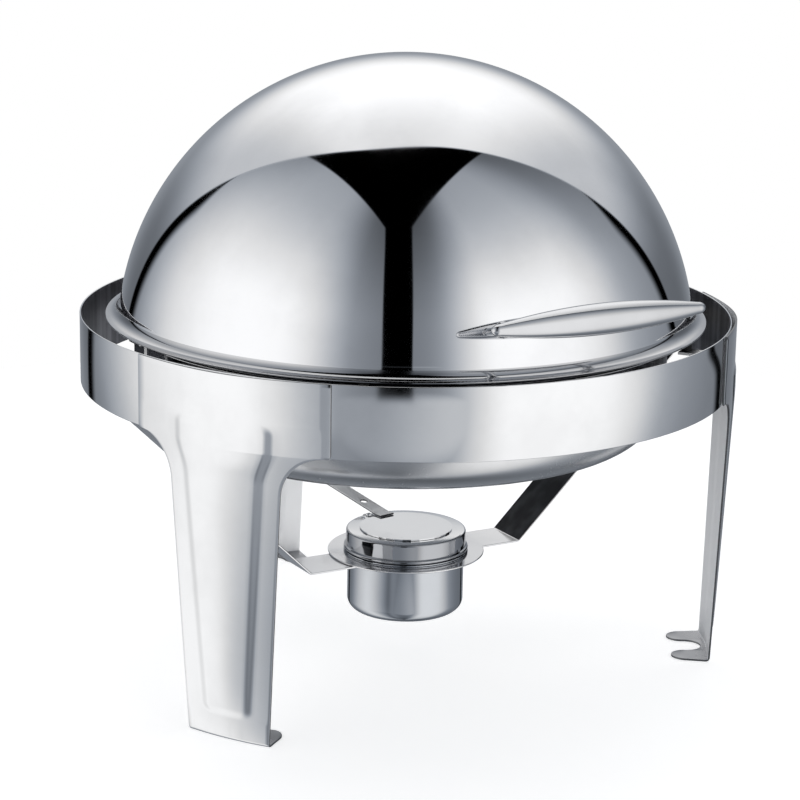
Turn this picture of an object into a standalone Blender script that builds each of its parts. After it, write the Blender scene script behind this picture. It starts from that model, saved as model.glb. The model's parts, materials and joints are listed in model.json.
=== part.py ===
"""Round roll top chafer: stand with three legs, rolling dome lid, water pan, food pan and burner.

Metres, Z up, floor at z = 0. The handle faces -Y. Sub-parts are modelled about the axis of the
round body, which stands on the empty body_axis. The lid's pieces hang from the empty lid_axis.
"""

import math

import bmesh
import bpy
from mathutils import Matrix, Vector

# Overall layout
RING_R = 0.2500
RING_TOP = 0.2725
RING_BOTTOM = 0.2193
RING_T = 0.0012
GAP = 0.0003
ON_AXIS = 1e-7
SEGMENTS = 48
RING_SEGMENTS = 72
THROUGH_SHEET = 0.0120
THROUGH_BRACKET = 0.0600

# Legs
LEG_ANGLES = {"leg_left": -150.0, "leg_right": -30.0, "leg_rear": 90.0}
LEG_T = 0.0015
HEAD_HALF = 0.0814
HEAD_CORNER = 0.0020
HEAD_BULGE = 0.0027
FILLET_R = 0.0320
STEM_TOP_HALF = 0.0458
STEM_FOOT_HALF = 0.0353
FOOT_R = 0.2457
BEND_R = 0.0030
NOTCH_HALF = 0.0130
NOTCH_COLUMNS = 3
NOTCH_START = 0.0060
STEM_ROWS = (0.1400, 0.0900)
EMBOSS_H = 0.0018
EMBOSS_EDGE = 0.0030
EMBOSS_TOP = 0.2410
EMBOSS_BOTTOM = 0.0170
EMBOSS_WIDE_Z = 0.2240
EMBOSS_NECK_Z = 0.1960
EMBOSS_WIDE_HALF = 0.0415
EMBOSS_NECK_HALF = 0.0341
EMBOSS_FOOT_HALF = 0.0220
EMBOSS_CORNER = 0.0090

# Lid
HINGE_Z = 0.2462
LID_R = 0.2221
LID_T = 0.0010
FLANGE_R = 0.2304
FLANGE_Z = 0.0245
COVE_R = 0.0090

# Handle, seen from the centre of the dome
HANDLE_Y = -0.2660
HANDLE_RISE = 0.0718
GRIP_HALF = 0.0870
GRIP_R = 0.0110
GRIP_TIP_R = 0.0032
GRIP_BODY = 0.985
POST_X = 0.0550
POST_R = 0.0040
POST_FLANGE_R = 0.0060
POST_FLANGE_T = 0.0015
POST_NECK = 0.0035
SOCKET_DEPTH = 0.0040
SCREW_R = 0.0020
SCREW_HEAD_R = 0.0045
SCREW_HEAD_H = 0.0026
SCREW_HEAD_EDGE = 0.0012
SCREW_REACH = 0.0120
SCREW_SPARE = 0.0020
WASHER_R = 0.0055
WASHER_T = 0.0008
WASHER_SEAT = 0.0010
CLEARANCE = 0.0003

# Hinges
PIN_R = 0.0030
PIN_END_X = 0.2472
PIN_HEAD_X = 0.2036
PIN_HEAD_T = 0.0040
PIN_HEAD_R = 0.0050
BRACKET_HALF = 0.0140
BRACKET_T = 0.0020
BRACKET_OUT_X = 0.2477
BRACKET_IN_X = 0.2080
BRACKET_LOW = 0.2330
BRACKET_OUT_TOP = 0.2620
EAR_X = 0.2220
EAR_T = 0.0020
EAR_EYE_R = 0.0090
EAR_TAB = 0.0060
BUSH_R = 0.0052

# Pans
WATER_R = 0.2020
WATER_BOTTOM = 0.1764
WATER_CORNER = 0.0400
WATER_RIM_R = 0.2150
WATER_RIM_Z = 0.2618
PAN_T = 0.0010
FOOD_R = 0.1960
FOOD_BOTTOM = 0.1980
FOOD_CORNER = 0.0300
FOOD_RIM_R = 0.2140
RIM_FLARE = 0.0030

# Brackets between ring and pans
LUG_ANGLE = 20.0
LUG_HALF = 0.0070
LUG_T = 0.0020
LUG_REACH = 0.2060
LUG_TOP = 0.2615
LUG_FOOT = 0.2420
LUG_SEAT = 0.0008
REST_ANGLE = 37.0
REST_REACH = 0.2215
REST_TOP = 0.2635
BUMPER_R = 0.0035
BUMPER_EDGE = 0.0010
BUMPER_CENTRE = 0.2262

# Burner
BURNER_Y = -0.0060
ARM_HALF = 0.0190
ARM_T = 0.0015
ARM_Z = 0.0770
ARM_BEND_X = 0.0940
ARM_SLOPE = 0.9700
ARM_INNER_X = 0.0470
ARM_OUT_X = 0.2460
ARM_TOP = 0.2325
BURNER_RING_R = 0.0615
BURNER_RING_T = 0.0012
BURNER_HOLE_R = 0.0462
CUP_R = 0.04575
CUP_BOTTOM = 0.0320
CUP_CORNER = 0.0090
CUP_RIM_R = 0.0490
CUP_T = 0.0008
COLLAR_R = 0.0472
COLLAR_BEAD_R = 0.0490
COLLAR_BEAD_H = 0.0016
COLLAR_NECK = 0.0024
COLLAR_EDGE = 0.0010
COLLAR_TOP = 0.0970
COLLAR_HOLE_R = 0.0300
SNUFFER_R = 0.0365
SNUFFER_T = 0.0010
SNUFFER_PIVOT = 0.0400
SNUFFER_ANGLE = 108.0
SNUFFER_EAR_R = 0.0050
SNUFFER_NECK = 0.25
RIVET_R = 0.0015
RIVET_HEAD_R = 0.0030
RIVET_HEAD_H = 0.0014
RIVET_HEAD_EDGE = 0.0010

# Lever that swings the snuffer, placed from the burner's axis
LEVER_START = (-0.0005, 0.0295)
LEVER_TURN = 100.0
LEVER_HALF = 0.0068
LEVER_T = 0.0012
LEVER_FOOT = 0.0070
LEVER_LENGTH = 0.0740
LEVER_SLOPE = 0.1650
LEVER_HOLE_AT = 0.0298
LEVER_HOLE_R = 0.0030

FRONT_REACH = -HANDLE_Y + GRIP_R
REAR_REACH = RING_R + GAP + LEG_T + HEAD_BULGE + EMBOSS_H
AXIS_Y = (FRONT_REACH - REAR_REACH) / 2

STEEL = (0.72, 0.73, 0.74)
SATIN = (0.60, 0.61, 0.62)
RUBBER = (0.05, 0.05, 0.05)


def clear_scene():
    for item in list(bpy.data.objects):
        bpy.data.objects.remove(item)


def material(name, colour, roughness, metallic):
    made = bpy.data.materials.new(name)
    made.use_nodes = True
    shader = made.node_tree.nodes["Principled BSDF"]
    shader.inputs["Base Color"].default_value = (*colour, 1.0)
    shader.inputs["Roughness"].default_value = roughness
    shader.inputs["Metallic"].default_value = metallic
    return made


def empty(name, location, parent=None):
    made = bpy.data.objects.new(name, None)
    made.location = location
    made.parent = parent
    bpy.context.collection.objects.link(made)
    return made


def add(name, mesh, parent, colour=STEEL, roughness=0.12, metallic=1.0, location=(0, 0, 0), turn=0.0):
    """Put a mesh in the scene as one sub-part with a material of its own."""
    made = bpy.data.objects.new(name, mesh)
    made.parent = parent
    made.location = location
    made.rotation_euler = (0.0, 0.0, turn)
    made.data.materials.append(material(name + "_metal", colour, roughness, metallic))
    bpy.context.collection.objects.link(made)
    return made


def smooth(mesh, degrees=35.0):
    mesh.shade_smooth()
    mesh.set_sharp_from_angle(angle=math.radians(degrees))


def finish(bm, name, round_piece=False):
    bmesh.ops.recalc_face_normals(bm, faces=bm.faces)
    mesh = bpy.data.meshes.new(name)
    bm.to_mesh(mesh)
    bm.free()
    if round_piece:
        smooth(mesh)
    return mesh


def arc(cx, cz, radius, start, end, steps):
    """Points on an arc in the profile plane, angles in degrees."""
    points = []
    for i in range(steps + 1):
        a = math.radians(start + (end - start) * i / steps)
        points.append((cx + radius * math.cos(a), cz + radius * math.sin(a)))
    return points


def revolve(name, profile, segments=SEGMENTS, axis="Z"):
    """Turn a closed (radius, height) outline about an axis. Points on the axis become poles."""
    bm = bmesh.new()
    rings = []
    for radius, height in profile:
        if radius < ON_AXIS:
            rings.append([bm.verts.new((0.0, 0.0, height))])
            continue
        ring = []
        for i in range(segments):
            a = 2 * math.pi * i / segments
            ring.append(bm.verts.new((radius * math.cos(a), radius * math.sin(a), height)))
        rings.append(ring)
    for k, low in enumerate(rings):
        high = rings[(k + 1) % len(rings)]
        if len(low) == 1 and len(high) == 1:
            continue
        for i in range(segments):
            j = (i + 1) % segments
            corners = [low[i % len(low)], low[j % len(low)], high[j % len(high)], high[i % len(high)]]
            bm.faces.new(list(dict.fromkeys(corners)))
    if axis == "X":
        bmesh.ops.rotate(bm, verts=bm.verts, matrix=Matrix.Rotation(math.radians(90), 3, "Y"))
    return finish(bm, name, round_piece=True)


def shell_profile(outer, thickness):
    """Offset an open (radius, height) line to its inner side and close it into an outline."""
    inner = []
    for k, (r, z) in enumerate(outer):
        before = Vector(outer[max(k - 1, 0)])
        after = Vector(outer[min(k + 1, len(outer) - 1)])
        here = Vector((r, z))
        first = (here - before).normalized() if k else (after - here).normalized()
        second = (after - here).normalized() if k < len(outer) - 1 else first
        side = Vector((-(first.y + second.y), first.x + second.x)).normalized()
        scale = 1 / max(0.5, side.dot(Vector((-first.y, first.x))))
        moved = here + side * thickness * scale
        inner.append((0.0 if abs(r) < ON_AXIS else moved.x, moved.y))
    return outer + inner[::-1]


def bent_strip(name, line, half, thickness):
    """Sheet strip that follows a line of (across, height) points, as wide as 2 * half in Y."""
    outline = shell_profile(line, thickness)
    bm = bmesh.new()
    near = [bm.verts.new((x, -half, z)) for x, z in outline]
    far = [bm.verts.new((x, half, z)) for x, z in outline]
    count = len(outline)
    steps = len(line)
    for k in range(count):
        j = (k + 1) % count
        bm.faces.new((near[k], near[j], far[j], far[k]))
    for k in range(steps - 1):
        a, b = k, k + 1
        c, d = count - 2 - k, count - 1 - k
        bm.faces.new((near[a], near[b], near[c], near[d]))
        bm.faces.new((far[d], far[c], far[b], far[a]))
    return finish(bm, name)


def triangulated(mesh):
    """Split the many-sided faces that a boolean leaves into triangles."""
    bm = bmesh.new()
    bm.from_mesh(mesh)
    wide = [f for f in bm.faces if len(f.verts) > 4]
    bmesh.ops.triangulate(bm, faces=wide, ngon_method="EAR_CLIP")
    bm.to_mesh(mesh)
    bm.free()
    return mesh


def cut(target, cutters):
    """Cut with exact booleans and keep the result as the mesh."""
    bpy.context.view_layer.objects.active = target
    for cutter in cutters:
        cutter.hide_render = True
        cutter.display_type = "WIRE"
        step = target.modifiers.new("cut", "BOOLEAN")
        step.operation = "DIFFERENCE"
        step.solver = "EXACT"
        step.object = cutter
    bpy.context.view_layer.update()
    view = bpy.context.evaluated_depsgraph_get()
    result = bpy.data.meshes.new_from_object(target.evaluated_get(view))
    target.modifiers.clear()
    target.data = triangulated(result)
    for cutter in cutters:
        bpy.data.objects.remove(cutter)


def drill(radius, depth, parent, location, direction, segments=16):
    """Round cutter centred on a point, along a direction."""
    bm = bmesh.new()
    bmesh.ops.create_cone(
        bm, cap_ends=True, segments=segments, radius1=radius, radius2=radius, depth=depth
    )
    made = bpy.data.objects.new("drill", finish(bm, "drill"))
    made.parent = parent
    made.location = location
    made.rotation_mode = "QUATERNION"
    made.rotation_quaternion = Vector(direction).to_track_quat("Z", "Y")
    bpy.context.collection.objects.link(made)
    return made


# ---------------------------------------------------------------- stand


def ring_band(body):
    profile = [
        (RING_R, RING_BOTTOM),
        (RING_R, RING_TOP),
        (RING_R - RING_T, RING_TOP),
        (RING_R - RING_T, RING_BOTTOM),
    ]
    add("ring_band", revolve("ring_band", profile, RING_SEGMENTS), body)


def stem_half(z):
    """Half width of a leg at a height: wide head, round fillet, tapered stem."""
    if z >= RING_BOTTOM + HEAD_CORNER:
        return HEAD_HALF
    if z >= RING_BOTTOM:
        drop = HEAD_CORNER - (z - RING_BOTTOM)
        return HEAD_HALF - HEAD_CORNER + math.sqrt(HEAD_CORNER**2 - drop**2)
    low = RING_BOTTOM - FILLET_R
    if z > low:
        return STEM_TOP_HALF + FILLET_R - math.sqrt(max(FILLET_R**2 - (z - low) ** 2, 0.0))
    return STEM_FOOT_HALF + (STEM_TOP_HALF - STEM_FOOT_HALF) * z / low


def emboss_half(z):
    """Half width of the raised panel at a height, with rounded ends."""
    z = min(max(z, EMBOSS_BOTTOM), EMBOSS_TOP)
    if z >= EMBOSS_WIDE_Z:
        half = EMBOSS_WIDE_HALF
    elif z >= EMBOSS_NECK_Z:
        share = (z - EMBOSS_NECK_Z) / (EMBOSS_WIDE_Z - EMBOSS_NECK_Z)
        blend = share * share * (3 - 2 * share)
        half = EMBOSS_NECK_HALF + (EMBOSS_WIDE_HALF - EMBOSS_NECK_HALF) * blend
    else:
        share = (z - EMBOSS_BOTTOM) / (EMBOSS_NECK_Z - EMBOSS_BOTTOM)
        half = EMBOSS_FOOT_HALF + (EMBOSS_NECK_HALF - EMBOSS_FOOT_HALF) * share
    end = min(EMBOSS_TOP - z, z - EMBOSS_BOTTOM)
    if end < EMBOSS_CORNER:
        half -= EMBOSS_CORNER - math.sqrt(EMBOSS_CORNER**2 - (EMBOSS_CORNER - end) ** 2)
    return half


def leg_surface_radius(u, z):
    """Radius of the leg's outer face before the raised panel."""
    top = RING_R + GAP + LEG_T
    bulge = HEAD_BULGE * math.cos(math.pi / 2 * min(abs(u) / HEAD_HALF, 1.0)) ** 2
    if z >= RING_BOTTOM:
        return top + bulge
    lean = z / RING_BOTTOM
    return FOOT_R + (top + bulge - FOOT_R) * lean


def leg_columns(z):
    """Positions across the leg at a height, from the middle to the edge, and their raise."""
    inside = EMBOSS_BOTTOM + EMBOSS_EDGE / 2 < z < EMBOSS_TOP - EMBOSS_EDGE / 2
    edge = emboss_half(z)
    flat = edge - EMBOSS_EDGE
    half = stem_half(z)
    columns = [(0.0, inside), (flat * 0.5, inside), (flat, inside), (edge, False)]
    steps = 3
    for k in range(1, steps + 1):
        columns.append((edge + (half - edge) * k / steps, False))
    return columns


def leg_heights():
    """Heights of the rows of a leg, from the top of the head to the foot bend."""
    low = RING_BOTTOM - FILLET_R
    heights = [RING_TOP, EMBOSS_TOP, EMBOSS_TOP - EMBOSS_EDGE, EMBOSS_TOP - EMBOSS_CORNER]
    heights += [RING_BOTTOM + HEAD_CORNER, RING_BOTTOM + HEAD_CORNER * 0.3, RING_BOTTOM]
    for degrees in (85, 72, 56, 38, 19, 0):
        heights.append(low + FILLET_R * math.sin(math.radians(degrees)))
    heights += [*STEM_ROWS, EMBOSS_BOTTOM + EMBOSS_CORNER]
    heights += [EMBOSS_BOTTOM + EMBOSS_EDGE, EMBOSS_BOTTOM, BEND_R]
    return sorted(heights, reverse=True)


def foot_columns():
    """Positions across the foot: the notch first, then one rounded prong."""
    prong_r = (STEM_FOOT_HALF - NOTCH_HALF) / 2
    centre = NOTCH_HALF + prong_r
    columns = [0.0, NOTCH_HALF * 0.5, NOTCH_HALF * 0.87, NOTCH_HALF]
    columns += [centre - prong_r * 0.6, centre + prong_r * 0.6, STEM_FOOT_HALF]
    return columns, centre, prong_r


def foot_rows():
    """Rows of the foot: the bend, the back of the notch and the prongs' rounded ends."""
    columns, centre, prong_r = foot_columns()
    bend = [(u, FOOT_R - BEND_R * 0.3, BEND_R * 0.3) for u in columns]
    flat = [(u, FOOT_R - BEND_R, 0.0) for u in columns]
    start = FOOT_R - NOTCH_START
    notch = []
    ends = []
    for u in columns:
        reach = NOTCH_HALF - math.sqrt(max(NOTCH_HALF**2 - u * u, 0.0))
        notch.append((u, start - reach, 0.0))
        offset = min(abs(u - centre), prong_r)
        tip = start - NOTCH_HALF - CLEARANCE
        ends.append((u, tip - math.sqrt(prong_r**2 - offset**2), 0.0))
    return [bend, flat, notch, ends]


def leg_mesh(name):
    """Sheet leg with raised panel, tapered stem and notched foot, thickened inwards."""
    bm = bmesh.new()
    rows = []
    for z in leg_heights():
        row = []
        for u, raised in leg_columns(z):
            radius = leg_surface_radius(u, z) + (EMBOSS_H if raised else 0.0)
            row.append((u, radius, z))
        rows.append(row)
    rows += foot_rows()
    grid = [[leg_point(bm, u, r, z) for u, r, z in mirrored(row)] for row in rows]
    last = len(grid) - 2
    middle = len(rows[0]) - 1
    for k in range(last + 1):
        for i in range(2 * middle):
            in_notch = k == last and abs(i + 0.5 - middle) < NOTCH_COLUMNS
            if in_notch:
                continue
            bm.faces.new((grid[k][i], grid[k][i + 1], grid[k + 1][i + 1], grid[k + 1][i]))
    loose = [v for v in bm.verts if not v.link_faces]
    bmesh.ops.delete(bm, geom=loose, context="VERTS")
    return finish(bm, name, round_piece=True)


def mirrored(row):
    return [(-u, r, z) for u, r, z in row[:0:-1]] + row


def leg_point(bm, u, r, z):
    """The sheet is curved round the body axis; the foot and stem keep their width."""
    angle = u / RING_R
    return bm.verts.new((r * math.cos(angle), r * math.sin(angle), z))


def legs(body):
    for name, degrees in LEG_ANGLES.items():
        made = add(name, leg_mesh(name), body, turn=math.radians(degrees))
        sheet = made.modifiers.new("sheet", "SOLIDIFY")
        sheet.thickness = LEG_T
        sheet.offset = -1.0
        sheet.use_even_offset = True
        view = bpy.context.evaluated_depsgraph_get()
        made.data = bpy.data.meshes.new_from_object(made.evaluated_get(view))
        made.modifiers.clear()


def side(name):
    return -1.0 if name.endswith("left") else 1.0


def hinge_bracket(name, body):
    """U-shaped bracket: outer leg on the ring, inner leg under the pan's rim, pin between."""
    line = [
        (BRACKET_OUT_X, BRACKET_OUT_TOP),
        (BRACKET_OUT_X, BRACKET_LOW),
        (BRACKET_IN_X, BRACKET_LOW),
        (BRACKET_IN_X, LUG_TOP),
    ]
    mesh = bent_strip(name, line, BRACKET_HALF, -BRACKET_T)
    made = add(name, mesh, body, roughness=0.25, turn=math.pi if side(name) < 0 else 0.0)
    middle_x = (BRACKET_OUT_X + BRACKET_IN_X) / 2
    hole = drill(PIN_R + CLEARANCE, THROUGH_BRACKET, made, (middle_x, 0, HINGE_Z), (1, 0, 0))
    cut(made, [hole])


def hinge_pin(name, body):
    """Pin with a low round head on its inner end."""
    start = PIN_HEAD_X
    profile = [(0.0, start), (PIN_HEAD_R, start), (PIN_HEAD_R, start + PIN_HEAD_T)]
    profile += [(PIN_R, start + PIN_HEAD_T), (PIN_R, PIN_END_X), (0.0, PIN_END_X)]
    mesh = revolve(name, profile, 20, axis="X")
    turn = math.pi if side(name) < 0 else 0.0
    add(name, mesh, body, roughness=0.2, location=(0, 0, HINGE_Z), turn=turn)


def bush(name, body, start, end):
    inner = PIN_R + CLEARANCE
    profile = [(BUSH_R, start), (BUSH_R, end), (inner, end), (inner, start)]
    mesh = revolve(name, profile, 20, axis="X")
    turn = math.pi if side(name) < 0 else 0.0
    place = (0, 0, HINGE_Z)
    add(name, mesh, body, (0.85, 0.85, 0.82), 0.5, 0.0, location=place, turn=turn)


def hinges(body):
    inner_face = BRACKET_IN_X + BRACKET_T
    outer_face = BRACKET_OUT_X - BRACKET_T
    for hand in ("left", "right"):
        hinge_bracket("hinge_bracket_" + hand, body)
        hinge_pin("hinge_pin_" + hand, body)
        bush("hinge_bush_inner_" + hand, body, inner_face + GAP, EAR_X - GAP)
        bush("hinge_bush_outer_" + hand, body, EAR_X + EAR_T + GAP, outer_face - GAP)


def lug(name, body, degrees, reach, top):
    """L-shaped tab on the inside of the ring, pointing at the body axis."""
    wall = RING_R - RING_T - LUG_SEAT
    line = [(wall, LUG_FOOT), (wall, top), (reach, top)]
    mesh = bent_strip(name, line, LUG_HALF, LUG_T)
    turn = math.radians(-90.0 + degrees)
    add(name, mesh, body, roughness=0.25, turn=turn)


def front_brackets(body):
    for hand, sign in (("left", -1.0), ("right", 1.0)):
        lug("pan_lug_" + hand, body, sign * LUG_ANGLE, LUG_REACH, LUG_TOP)
        lug("lid_rest_" + hand, body, sign * REST_ANGLE, REST_REACH, REST_TOP)
        low = REST_TOP + GAP
        high = HINGE_Z + FLANGE_Z - LID_T - GAP
        profile = [(0.0, low), (BUMPER_R, low), (BUMPER_R, high - BUMPER_EDGE)]
        profile += [(BUMPER_R - BUMPER_EDGE, high), (0.0, high)]
        mesh = revolve("lid_bumper_" + hand, profile, 20)
        angle = math.radians(-90.0 + sign * REST_ANGLE)
        place = (BUMPER_CENTRE * math.cos(angle), BUMPER_CENTRE * math.sin(angle), 0)
        add("lid_bumper_" + hand, mesh, body, RUBBER, 0.7, 0.0, location=place)


# ---------------------------------------------------------------- lid


def dome_line():
    """Outer line of the lid: crown, wall, cove and flange, seen from the hinge axis."""
    cove_low = FLANGE_Z
    meet = cove_low + COVE_R
    foot = math.degrees(math.asin(meet / LID_R))
    crown = arc(0.0, 0.0, LID_R, 90.0, foot, 13)
    crown[0] = (0.0, LID_R)
    wall_r = LID_R * math.cos(math.radians(foot))
    centre_r = wall_r + COVE_R
    cove = arc(centre_r, meet, COVE_R, 180.0, 250.0, 3)[1:]
    return crown + cove + [(FLANGE_R, cove_low)]


def lid_dome(lid):
    line = dome_line()
    profile = shell_profile(line, -LID_T)
    made = add("lid_dome", revolve("lid_dome", profile), lid, roughness=0.05)
    holes = []
    for sign in (-1.0, 1.0):
        direction = post_direction(sign)
        holes.append(drill(SCREW_R + CLEARANCE, THROUGH_SHEET, lid, direction * LID_R, direction, 12))
    cut(made, holes)
    smooth(made.data)


def post_direction(sign):
    """Posts stand square on the dome, so their axes run through its centre."""
    return Vector((sign * POST_X, HANDLE_Y, HANDLE_RISE)).normalized()


def grip_radius(x):
    share = min(abs(x) / GRIP_HALF, 1.0)
    return GRIP_TIP_R + (GRIP_R - GRIP_TIP_R) * (1 - share**2)


def handle_grip(lid):
    steps = 12
    profile = []
    for i in range(steps + 1):
        x = GRIP_HALF * GRIP_BODY * (2 * i / steps - 1)
        profile.append((grip_radius(x), x))
    profile = [(0.0, -GRIP_HALF)] + profile + [(0.0, GRIP_HALF)]
    mesh = revolve("handle_grip", profile, 24, axis="X")
    place = (0, HANDLE_Y, HANDLE_RISE)
    made = add("handle_grip", mesh, lid, SATIN, 0.35, location=place)
    sockets = []
    for sign in (-1.0, 1.0):
        back = -post_direction(sign)
        centre = Vector((sign * POST_X, HANDLE_Y, HANDLE_RISE)) + back * grip_radius(POST_X)
        sockets.append(drill(POST_R + CLEARANCE, 2 * SOCKET_DEPTH, lid, centre, back))
    cut(made, sockets)


def axial(name, profile, lid, sign, distance, colour=STEEL, roughness=0.2):
    """Turned piece on a handle post's axis, a distance from the dome's centre along the post."""
    direction = post_direction(sign)
    made = add(name, revolve(name, profile, 16), lid, colour, roughness)
    made.location = direction * distance
    made.rotation_mode = "QUATERNION"
    made.rotation_quaternion = direction.to_track_quat("Z", "Y")
    return made


def handle_mounts(lid):
    grip = Vector((POST_X, HANDLE_Y, HANDLE_RISE)).length
    foot = LID_R + GAP
    length = grip - grip_radius(POST_X) + SOCKET_DEPTH - CLEARANCE - foot
    bore = SCREW_R + CLEARANCE
    bore_end = SCREW_REACH + SCREW_SPARE
    post = [(bore, 0.0), (POST_FLANGE_R, 0.0), (POST_FLANGE_R, POST_FLANGE_T), (POST_R, POST_NECK)]
    post += [(POST_R, length), (0.0, length), (0.0, bore_end), (bore, bore_end)]
    inner = LID_R - LID_T - WASHER_SEAT
    washer = [(WASHER_R, 0.0), (WASHER_R, -WASHER_T), (bore, -WASHER_T), (bore, 0.0)]
    head = -WASHER_T - CLEARANCE
    reach = foot + SCREW_REACH - inner
    screw = [(0.0, head - SCREW_HEAD_H), (SCREW_HEAD_R * 0.7, head - SCREW_HEAD_H)]
    screw += [(SCREW_HEAD_R, head - SCREW_HEAD_EDGE), (SCREW_HEAD_R, head), (SCREW_R, head)]
    screw += [(SCREW_R, reach), (0.0, reach)]
    for hand, sign in (("left", -1.0), ("right", 1.0)):
        axial("handle_post_" + hand, post, lid, sign, foot, SATIN, 0.3)
        axial("handle_washer_" + hand, washer, lid, sign, inner)
        axial("handle_screw_" + hand, screw, lid, sign, inner)


def ear_mesh(name):
    """Lid ear: round eye on the pin, plate up to the flange, and a tab bent outwards."""
    top = FLANGE_Z - LID_T - GAP
    fold = top - EAR_T
    bm = bmesh.new()
    lower = arc(0.0, 0.0, EAR_EYE_R, 180.0, 360.0, 10)
    lower += [(EAR_EYE_R, fold), (-EAR_EYE_R, fold)]
    near = [bm.verts.new((0.0, y, z)) for y, z in lower]
    far = [bm.verts.new((EAR_T, y, z)) for y, z in lower]
    count = len(lower)
    bm.faces.new(near)
    bm.faces.new(far[::-1])
    for k in range(count - 2):
        bm.faces.new((near[k], near[k + 1], far[k + 1], far[k]))
    bm.faces.new((near[-1], near[0], far[0], far[-1]))
    cap = []
    for x, z in ((0.0, top), (EAR_TAB, top), (EAR_TAB, fold)):
        cap.append([bm.verts.new((x, y, z)) for y in (EAR_EYE_R, -EAR_EYE_R)])
    root = [near[-2], near[-1]]
    knee = [far[-2], far[-1]]
    strips = (root, cap[0], cap[1], cap[2], knee)
    for first, second in zip(strips, strips[1:]):
        bm.faces.new((first[0], second[0], second[1], first[1]))
    for hand in (0, 1):
        bm.faces.new((root[hand], cap[0][hand], cap[1][hand], cap[2][hand], knee[hand]))
    return finish(bm, name)


def lid_ears(lid):
    for hand, sign in (("left", -1.0), ("right", 1.0)):
        name = "lid_ear_" + hand
        made = add(name, ear_mesh(name), lid, roughness=0.2)
        made.location = (sign * EAR_X, 0.0, 0.0)
        made.rotation_euler = (0.0, 0.0, math.pi if sign < 0 else 0.0)
        hole = drill(PIN_R + CLEARANCE, THROUGH_SHEET, made, (0, 0, 0), (1, 0, 0))
        cut(made, [hole])


# ---------------------------------------------------------------- pans


def pan_line(radius, bottom, corner, rim_r, rim_z):
    line = [(0.0, bottom)]
    line += arc(radius - corner, bottom + corner, corner, -90.0, 0.0, 6)
    line += [(radius, rim_z - RIM_FLARE), (radius + RIM_FLARE, rim_z), (rim_r, rim_z)]
    return line


def pans(body):
    water = pan_line(WATER_R, WATER_BOTTOM, WATER_CORNER, WATER_RIM_R, WATER_RIM_Z)
    mesh = revolve("water_pan", shell_profile(water, PAN_T))
    add("water_pan", mesh, body, SATIN, 0.3)
    food_z = WATER_RIM_Z + PAN_T + GAP
    food = pan_line(FOOD_R, FOOD_BOTTOM, FOOD_CORNER, FOOD_RIM_R, food_z)
    mesh = revolve("food_pan", shell_profile(food, PAN_T))
    add("food_pan", mesh, body, SATIN, 0.25)


# ---------------------------------------------------------------- burner


def burner_arm(name, body):
    """Strip from under the burner ring up to the inside of the ring band."""
    bend_z = ARM_Z + (ARM_OUT_X - ARM_BEND_X) * ARM_SLOPE
    line = [(ARM_INNER_X, ARM_Z), (ARM_BEND_X, ARM_Z), (ARM_OUT_X, bend_z), (ARM_OUT_X, ARM_TOP)]
    mesh = bent_strip(name, line, ARM_HALF, ARM_T)
    left = side(name) < 0
    place = (0.0, BURNER_Y, 0.0)
    add(name, mesh, body, roughness=0.08, location=place, turn=math.pi if left else 0.0)


def burner(body):
    for hand in ("left", "right"):
        burner_arm("burner_arm_" + hand, body)
    ring_z = ARM_Z + ARM_T + GAP
    ring_top = ring_z + BURNER_RING_T
    profile = [(BURNER_RING_R, ring_z), (BURNER_RING_R, ring_top)]
    profile += [(BURNER_HOLE_R, ring_top), (BURNER_HOLE_R, ring_z)]
    place = (0.0, BURNER_Y, 0.0)
    add("burner_ring", revolve("burner_ring", profile, 40), body, location=place)

    rim = ring_top + GAP
    cup = [(0.0, CUP_BOTTOM)] + arc(CUP_R - CUP_CORNER, CUP_BOTTOM + CUP_CORNER, CUP_CORNER, -90, 0, 4)
    cup += [(CUP_R, rim), (CUP_RIM_R, rim)]
    mesh = revolve("burner_cup", shell_profile(cup, CUP_T), 40)
    add("burner_cup", mesh, body, roughness=0.15, location=place)

    seat = rim + CUP_T + GAP
    inner = COLLAR_R - CUP_T
    collar = [(COLLAR_BEAD_R, seat), (COLLAR_BEAD_R, seat + COLLAR_BEAD_H)]
    collar += [(COLLAR_R, seat + COLLAR_NECK), (COLLAR_R, COLLAR_TOP - COLLAR_EDGE)]
    collar += [(COLLAR_R - COLLAR_EDGE, COLLAR_TOP)]
    collar += [(COLLAR_HOLE_R, COLLAR_TOP), (COLLAR_HOLE_R, COLLAR_TOP - CUP_T)]
    collar += [(inner, COLLAR_TOP - CUP_T), (inner, seat)]
    add("burner_collar", revolve("burner_collar", collar, 40), body, roughness=0.1, location=place)
    snuffer(body)


def snuffer_outline(pivot_angle, pivot):
    """Round disc with a small ear at its rivet, seen from the rivet."""
    outline = []
    disc_steps = 32
    for i in range(disc_steps + 1):
        a = pivot_angle + SNUFFER_NECK + 2 * (math.pi - SNUFFER_NECK) * i / disc_steps
        outline.append((SNUFFER_R * math.cos(a) - pivot.x, SNUFFER_R * math.sin(a) - pivot.y))
    ear_steps = 6
    for i in range(ear_steps + 1):
        a = pivot_angle - math.pi / 2 + math.pi * i / ear_steps
        outline.append((SNUFFER_EAR_R * math.cos(a), SNUFFER_EAR_R * math.sin(a)))
    return outline


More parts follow.
